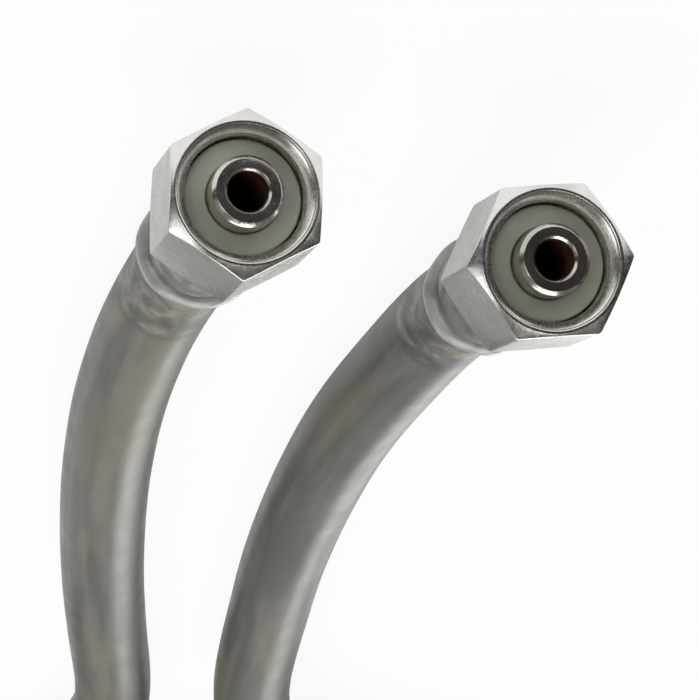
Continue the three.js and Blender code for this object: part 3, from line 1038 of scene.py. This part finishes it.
def softened(name, bm):
    """An object of the mesh with its edges bevelled, and the bevel made part of its mesh."""
    bmesh.ops.recalc_face_normals(bm, faces=bm.faces)
    mesh = bpy.data.meshes.new(name)
    bm.to_mesh(mesh)
    bm.free()
    piece = add_object(name, mesh)
    bevel = piece.modifiers.new("soft edges", "BEVEL")
    bevel.width = TIE_BEVEL * MM
    bevel.segments = 3
    bevel.limit_method = "ANGLE"
    piece.data = bpy.data.meshes.new_from_object(piece.evaluated_get(context_graph()))
    piece.modifiers.clear()
    return piece


def tie_piece(name, angle, s, teeth, finish):
    """One cable tie: a taut band round the turns, with its head, tail and the tail's teeth."""
    centres = sections_at(angle % 360)
    inner, outer = band_outline(centres, TIE_GAP), band_outline(centres, TIE_GAP + TIE_THICK)
    a = radians(angle)
    away, along, up = Vector((cos(a), sin(a), 0)), Vector((-sin(a), cos(a), 0)), Vector((0, 0, 1))
    middle = Vector((COIL_X, COIL_Y, 0))

    def at(r, w, z):
        return there(middle + away * r + along * w + up * z)

    half = s.width / 2
    inside = min(p.x for p in outer)
    tip = inside - HEAD_DEEP - TAIL_OUT
    level = sum(c.y for c in centres) / len(centres)
    bm = bmesh.new()
    add_band(bm, at, inner, outer, half)
    add_box(bm, at, (
        (inside - HEAD_DEEP + HEAD_LAP, inside + HEAD_LAP), (-HEAD_ALONG / 2, HEAD_ALONG / 2),
        (level - HEAD_TALL / 2, level + HEAD_TALL / 2),
    ))
    add_box(bm, at, (
        (tip, inside - HEAD_DEEP + TAIL_LAP), (-half + TAIL_INSET, half - TAIL_INSET),
        (level + TAIL_LOW, level + TAIL_HIGH),
    ))
    tie = softened(name, bm)
    place = Matrix((away, along, up)).transposed().to_4x4()
    place.translation = at(tip + TEETH_FROM_TIP, 0, level + TAIL_HIGH)
    row = teeth.copy()
    row.transform(place @ Matrix.Scale(MM, 4))
    bm = bmesh.new()
    bm.from_mesh(tie.data)
    bm.from_mesh(row)
    bm.to_mesh(tie.data)
    bm.free()
    tie.data.materials.clear()
    tie.data.materials.append(finish)
    tie.data.shade_smooth()
    tie.data.set_sharp_from_angle(angle=radians(TIE_SHARP_ANGLE))
    return tie


def teeth_tree():
    """Geometry Nodes: a row of three-sided teeth across a strap, each a pitch from the last."""
    tree = bpy.data.node_groups.new("strap_teeth", "GeometryNodeTree")
    for name, kind in (
        ("Count", "NodeSocketInt"), ("Pitch", "NodeSocketFloat"), ("Width", "NodeSocketFloat"),
        ("Height", "NodeSocketFloat"), ("Finish", "NodeSocketMaterial"),
    ):
        tree.interface.new_socket(name=name, in_out="INPUT", socket_type=kind)
    tree.interface.new_socket(name="Teeth", in_out="OUTPUT", socket_type="NodeSocketGeometry")
    nodes = Nodes(tree)
    given, result = nodes.node("NodeGroupInput"), nodes.node("NodeGroupOutput")
    row, step = nodes.node("GeometryNodeMeshLine"), nodes.node("ShaderNodeCombineXYZ")
    tooth = nodes.node("GeometryNodeMeshCylinder")
    spread = nodes.node("GeometryNodeInstanceOnPoints")
    real, finish = nodes.node("GeometryNodeRealizeInstances"), nodes.node("GeometryNodeSetMaterial")
    tooth.inputs["Vertices"].default_value = 3
    spread.inputs["Rotation"].default_value = Matrix(((0, 1, 0), (0, 0, 1), (1, 0, 0))).to_euler()
    for a, b in (
        (given.outputs["Pitch"], step.inputs["X"]), (given.outputs["Count"], row.inputs["Count"]),
        (step.outputs["Vector"], row.inputs["Offset"]), (given.outputs["Height"], tooth.inputs["Radius"]),
        (given.outputs["Width"], tooth.inputs["Depth"]), (row.outputs["Mesh"], spread.inputs["Points"]),
        (tooth.outputs["Mesh"], spread.inputs["Instance"]),
        (spread.outputs["Instances"], real.inputs["Geometry"]),
        (real.outputs["Geometry"], finish.inputs["Geometry"]),
        (given.outputs["Finish"], finish.inputs["Material"]),
        (finish.outputs["Geometry"], result.inputs["Teeth"]),
    ):
        nodes.link(a, b)
    return tree


def grow(name, tree, **values):
    """The plain mesh that a tree makes with these inputs."""
    holder = add_object(name, bpy.data.meshes.new(name))
    modifier = holder.modifiers.new(name, "NODES")
    modifier.node_group = tree
    for item in tree.interface.items_tree:
        if item.in_out == "INPUT":
            modifier[item.identifier] = values[item.name]
    made = bpy.data.meshes.new_from_object(holder.evaluated_get(context_graph()))
    holder.modifiers.clear()
    bpy.data.objects.remove(holder)
    return made


def context_graph():
    return bpy.context.evaluated_depsgraph_get()


# The stage. The room has a bright side, and a tone at each cosine from the way there.

BRIGHT_SIDE = (0.45, 0.85, -0.25)
ROOM_TONES = [
    (-0.95, (0.035, 0.03, 0.027)), (-0.62, (0.1, 0.088, 0.078)), (-0.2, (0.2, 0.185, 0.17)),
    (0.6, (0.3, 0.295, 0.285)), (0.95, (0.5, 0.5, 0.495)),
]
FLOOR_GAP = 0.0001
FLOOR_GLOW = 0.93

# How much of the floor's white metal sees behind the nuts, and where along Y that fades
GLOW_BEHIND = 0.3
GLOW_EDGE = (0.01, -0.008)

# Lamps: place, what each faces, size, watts, and the rays that meet it
LAMPS = {
    "lamp_over": ((0.1, 0.4, 0.9), (0, 0.05, 0), (0.9, 0.9), 8.0, ("diffuse", "glossy")),
    "lamp_front": ((0.42, -0.66, 0.5), (0, 0, 0), (0.5, 0.5), 1.35, ("diffuse", "glossy")),
    "lamp_side": ((-0.44, 0.71, 0.2), (0, 0.05, 0), (0.8, 0.5), 4.4, ("glossy",)),
}

# The dark cards: one along the front and one beside the nuts, which lean away as they rise
CARD_FRONT = -0.065
CARD_SIDE = -0.055
CARD_LEFT = 0.5
CARD_BACK = 0.03
CARD_TOP = 0.045
CARD_LEAN = 0.03


def floor_material():
    """White paper that keeps the line's shadow, and shows whitest in metal in front of the nuts."""
    paint = Shader("floor_paper", (0.9, 0.9, 0.9), 0.9)
    rays = paint.node("ShaderNodeLightPath").outputs
    parts = paint.node("ShaderNodeSeparateXYZ")
    paint.link(paint.place(), parts.inputs["Vector"])
    ahead = paint.span(parts.outputs["Y"], *GLOW_EDGE, GLOW_BEHIND, 1.0)
    in_metal = paint.math("MULTIPLY", rays["Is Glossy Ray"], ahead)
    seen = paint.math("MAXIMUM", rays["Is Camera Ray"], in_metal)
    seen = paint.math("MAXIMUM", seen, rays["Is Transmission Ray"])
    glow = paint.node("ShaderNodeEmission")
    mixed = paint.node("ShaderNodeMixShader")
    paint.link(paint.math("MULTIPLY", seen, FLOOR_GLOW), mixed.inputs["Fac"])
    paint.link(paint.base.outputs["BSDF"], mixed.inputs[1])
    paint.link(glow.outputs["Emission"], mixed.inputs[2])
    paint.link(mixed.outputs["Shader"], paint.tree.nodes["Material Output"].inputs["Surface"])
    return paint.material


def studio_world():
    """A soft studio: white to the camera, and a room with one bright side to everything else."""
    world = bpy.data.worlds.new("studio")
    bpy.context.scene.world = world
    world.use_nodes = True
    room = Nodes(world.node_tree)
    walls = room.tree.nodes["Background"]
    coords = room.node("ShaderNodeTexCoord")
    facing = room.node("ShaderNodeVectorMath", operation="DOT_PRODUCT")
    facing.inputs[1].default_value = Vector(BRIGHT_SIDE).normalized()
    room.link(coords.outputs["Generated"], facing.inputs[0])
    share = room.span(facing.outputs["Value"], -1, 1, 0, 1)
    room.link(room.ramp(share, [((at + 1) / 2, tone) for at, tone in ROOM_TONES]), walls.inputs["Color"])
    rays = room.node("ShaderNodeLightPath")
    white = room.node("ShaderNodeBackground")
    white.inputs["Color"].default_value = (1, 1, 1, 1)
    mixed = room.node("ShaderNodeMixShader")
    room.link(rays.outputs["Is Camera Ray"], mixed.inputs["Fac"])
    room.link(walls.outputs["Background"], mixed.inputs[1])
    room.link(white.outputs["Background"], mixed.inputs[2])
    room.link(mixed.outputs["Shader"], room.tree.nodes["World Output"].inputs["Surface"])


def softbox(name, at, towards, size, power, seen_in):
    """A rectangular lamp that the camera doesn't see, and that only the named rays meet."""
    lamp = bpy.data.lights.new(name, "AREA")
    lamp.shape = "RECTANGLE"
    lamp.size, lamp.size_y = size
    lamp.energy = power
    thing = add_object(name, lamp)
    thing.location = at
    thing.visible_camera = False
    thing.visible_diffuse = "diffuse" in seen_in
    thing.visible_glossy = "glossy" in seen_in
    thing.rotation_euler = (Vector(towards) - Vector(at)).to_track_quat("-Z", "Y").to_euler()


def dark_cards():
    """Low dark cards in front of the nuts and beside them, which only metal and gloss show."""
    low = -ORIGIN.z * MM
    front, side = CARD_FRONT - CARD_LEAN, CARD_SIDE - CARD_LEAN
    verts = [
        (CARD_LEFT, CARD_FRONT, low), (CARD_SIDE, CARD_FRONT, low), (CARD_SIDE, CARD_BACK, low),
        (CARD_LEFT, front, CARD_TOP), (side, front, CARD_TOP), (side, CARD_BACK, CARD_TOP),
    ]
    mesh = bpy.data.meshes.new("dark_cards")
    mesh.from_pydata(verts, [], [(0, 1, 4, 3), (1, 2, 5, 4)])
    cards = add_object("dark_cards", mesh)
    mesh.materials.append(Shader("card_paper", (0.03, 0.026, 0.023), 0.9).material)
    for rays in ("camera", "diffuse", "transmission", "volume_scatter", "shadow"):
        setattr(cards, f"visible_{rays}", False)


def photo_camera():
    """The photograph's camera, rolled so that the picture's right is the row's -X."""
    camera = bpy.data.cameras.new("photo_camera")
    camera.sensor_width = SENSOR
    camera.lens = LENS
    camera.clip_start = 0.01
    view = add_object("photo_camera", camera)
    down = radians(CAMERA_DOWN)
    right = Vector((-1, 0, 0))
    up = Vector((0, -sin(down), -cos(down)))
    turned = Matrix((right, up, right.cross(up))).transposed().to_4x4()
    view.matrix_world = Matrix.Translation(there(CAMERA_AT)) @ turned
    return view


class SUPPLY_OT_stage(bpy.types.Operator):
    """Make the floor, the lamps and the photograph's camera"""
    bl_idname = "supply.stage"
    bl_label = "Stage"

    def execute(self, context):
        s = context.scene.supply_stage
        half = s.floor_size / 2
        level = -ORIGIN.z * MM - FLOOR_GAP
        mesh = bpy.data.meshes.new("floor")
        corners = [(-half, -half, level), (half, -half, level), (half, half, level), (-half, half, level)]
        mesh.from_pydata(corners, [], [(0, 1, 2, 3)])
        floor = add_object("floor", mesh)
        mesh.materials.append(floor_material())
        studio_world()
        for name, (at, towards, size, power, seen_in) in LAMPS.items():
            softbox(name, at, towards, size, power * s.light, seen_in)
        dark_cards()
        context.scene.camera = photo_camera()
        context.scene.view_settings.view_transform = "Standard"
        return {"FINISHED"}


class SUPPLY_PT_panel(bpy.types.Panel):
    """Lists the supply line's pieces in the sidebar"""
    bl_label = "Supply Line"
    bl_idname = "SUPPLY_PT_panel"
    bl_space_type = "VIEW_3D"
    bl_region_type = "UI"
    bl_category = "Supply Line"

    def draw(self, context):
        layout = self.layout
        for operator in OPERATORS:
            layout.operator(operator.bl_idname)
        for name in SETTINGS:
            group = getattr(context.scene, name)
            for key in type(group).__annotations__:
                layout.prop(group, key)


OPERATORS = (
    SUPPLY_OT_stage, SUPPLY_OT_ties, SUPPLY_OT_hose, SUPPLY_OT_nuts, SUPPLY_OT_fittings,
    SUPPLY_OT_hose_layers,
)
SETTINGS = {
    "supply_nut": NutSettings, "supply_hose": HoseSettings, "supply_tie": TieSettings,
    "supply_stage": StageSettings,
}


def register():
    for kind in (*SETTINGS.values(), *OPERATORS, SUPPLY_PT_panel):
        bpy.utils.register_class(kind)
    for name, kind in SETTINGS.items():
        setattr(bpy.types.Scene, name, bpy.props.PointerProperty(type=kind))


def unregister():
    for name in SETTINGS:
        delattr(bpy.types.Scene, name)
    for kind in (SUPPLY_PT_panel, *reversed(OPERATORS), *reversed(SETTINGS.values())):
        bpy.utils.unregister_class(kind)


def main():
    register()
    bpy.ops.supply.stage()
    bpy.ops.supply.ties()
    bpy.ops.supply.hose()
    bpy.ops.supply.nuts()
    bpy.ops.supply.fittings()
    bpy.ops.supply.hose_layers()


if __name__ == "__main__":
    main()
